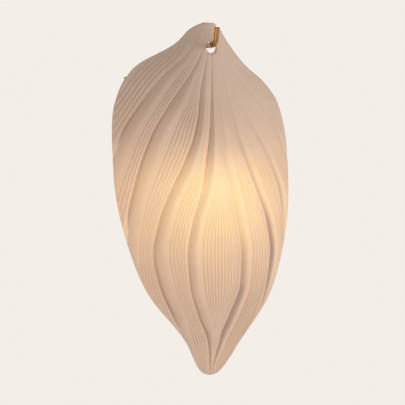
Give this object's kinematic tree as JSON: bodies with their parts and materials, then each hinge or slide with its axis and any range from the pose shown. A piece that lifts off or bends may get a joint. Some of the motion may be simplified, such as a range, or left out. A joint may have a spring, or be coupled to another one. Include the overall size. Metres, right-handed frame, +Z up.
{
  "type": "wall sconce",
  "caption": "Wall light with a pleated, ribbed resin shell hung on a brass hook in front of a small lamp on a box canopy.",
  "frame": {"origin": "on the wall, at the middle of the canopy's back; this is the mount wall_face", "axes": "+Z up; +Y into the wall, so the viewer is at negative Y; +X to the viewer's right"},
  "size_m": [0.2308, 0.1475, 0.402],
  "materials": {
    "shell_resin": "matte cast resin, ribbed, slightly translucent",
    "brass": "polished, lacquered",
    "nut_brass": "plain turned",
    "sleeve_silicone": "clear, satin",
    "bracket_steel": "zinc plated",
    "black_rubber": "matte",
    "holder_plastic": "moulded",
    "block_plastic": "moulded",
    "ceramic_insert": "unglazed",
    "bulb_opal": "opal",
    "cap_metal": "rolled",
    "cap_glass": "black glass",
    "cap_tin": "tinned",
    "stem_glass": "clear",
    "filament_yellow": "silicone over LEDs",
    "filament_wire": "drawn",
    "lead_brown": "insulation",
    "lead_blue": "insulation",
    "lead_green": "insulation"
  },
  "bodies": {
    "wall_unit": {"hook_arm": "brass", "hook_rosette": "brass", "hook_washer": "nut_brass", "hook_nut": "nut_brass", "canopy_cover": "brass", "canopy_screws": "brass", "mounting_bracket": "bracket_steel", "cable_grommet": "black_rubber", "lamp_arm": "brass", "arm_rosette": "brass", "arm_washer": "nut_brass", "arm_nut": "nut_brass", "holder_cup": "brass", "cup_nut": "brass", "holder_body": "holder_plastic", "holder_insert": "ceramic_insert", "contact_shell": "nut_brass", "centre_contact": "nut_brass", "terminal_block": "block_plastic", "terminal_screws": "nut_brass", "block_screws": "bracket_steel", "live_lead": "lead_brown", "neutral_lead": "lead_blue", "earth_lead": "lead_green", "earth_lug": "nut_brass", "earth_screw": "nut_brass"},
    "sleeve": {"hook_sleeve": "sleeve_silicone"},
    "shell": {"shell_shade": "shell_resin"},
    "bulb": {"bulb_glass": "bulb_opal", "bulb_cap": "cap_metal", "cap_insulator": "cap_glass", "cap_contact": "cap_tin", "bulb_stem": "stem_glass", "bulb_filaments": "filament_yellow", "filament_wires": "filament_wire"}
  },
  "joints": [
    {"name": "shell_swing", "type": "hinge", "parent": "wall_unit", "child": "sleeve", "pos_m": [0, -0.1297, 0.0777], "axis": [0, 1, 0], "range_deg": [-20, 20]},
    {"name": "shell_tilt", "type": "hinge", "parent": "sleeve", "child": "shell", "pos_m": [0, -0.1297, 0.0837], "axis": [-1, 0, 0], "range_deg": [-5, 30]},
    {"name": "bulb_turn", "type": "hinge", "parent": "wall_unit", "child": "bulb", "pos_m": [0, -0.074, -0.085], "axis": [0, 0, -1], "range_deg": [0, 1800]}
  ]
}
